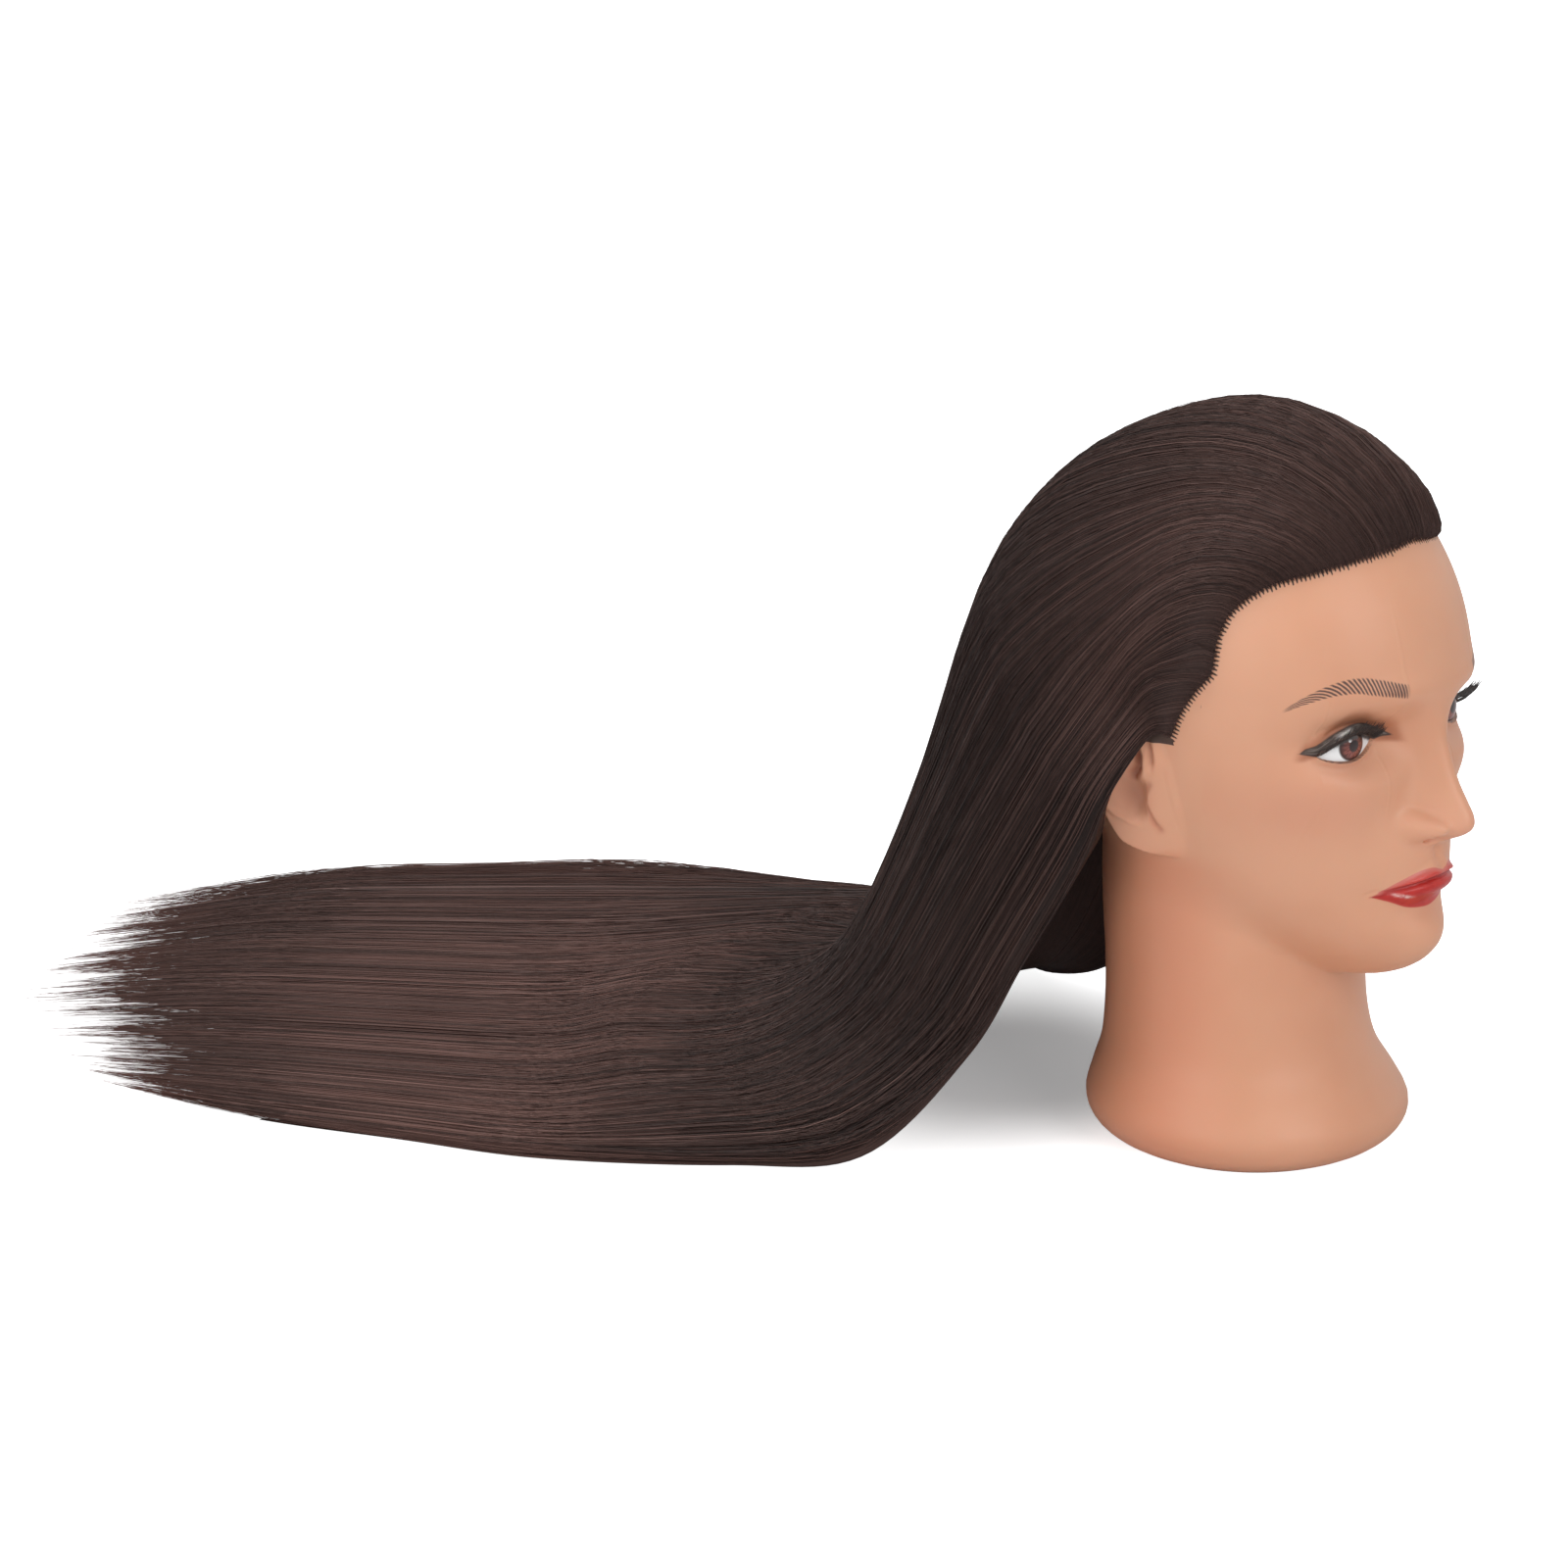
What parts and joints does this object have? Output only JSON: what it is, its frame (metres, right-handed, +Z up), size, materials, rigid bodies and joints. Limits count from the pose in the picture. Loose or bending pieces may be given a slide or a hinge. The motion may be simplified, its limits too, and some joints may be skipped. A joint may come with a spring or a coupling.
{
  "type": "mannequin training head",
  "caption": "Hair-practice mannequin head: moulded vinyl face on a flared neck with a clamp socket in its base, and long straight rooted hair brushed back onto the table.",
  "frame": {"origin": "centre of the clamp socket's mouth, on the table plane under the neck", "axes": "+Z up, the face looks to -Y, the hair trails to +Y and to the head's right (-X)"},
  "size_m": [0.3735, 0.6579, 0.3027],
  "materials": {
    "vinyl": "satin moulded vinyl with painted face",
    "foam": "light polyurethane foam",
    "plug": "moulded",
    "socket": "moulded",
    "eye": "gloss dome with printed iris",
    "lash": "fine black fibre",
    "hair": "straight dark brown fibre"
  },
  "bodies": {
    "root": {"vinyl_skin": "vinyl", "foam_core": "foam", "base_plug": "plug", "clamp_socket": "socket", "eye_right": "eye", "eye_left": "eye", "lash_right": "lash", "lash_left": "lash", "hair_right_edge": "hair", "hair_right_side": "hair", "hair_right_crown": "hair", "hair_middle": "hair", "hair_left_crown": "hair", "hair_left_side": "hair", "hair_left_edge": "hair"}
  },
  "joints": []
}
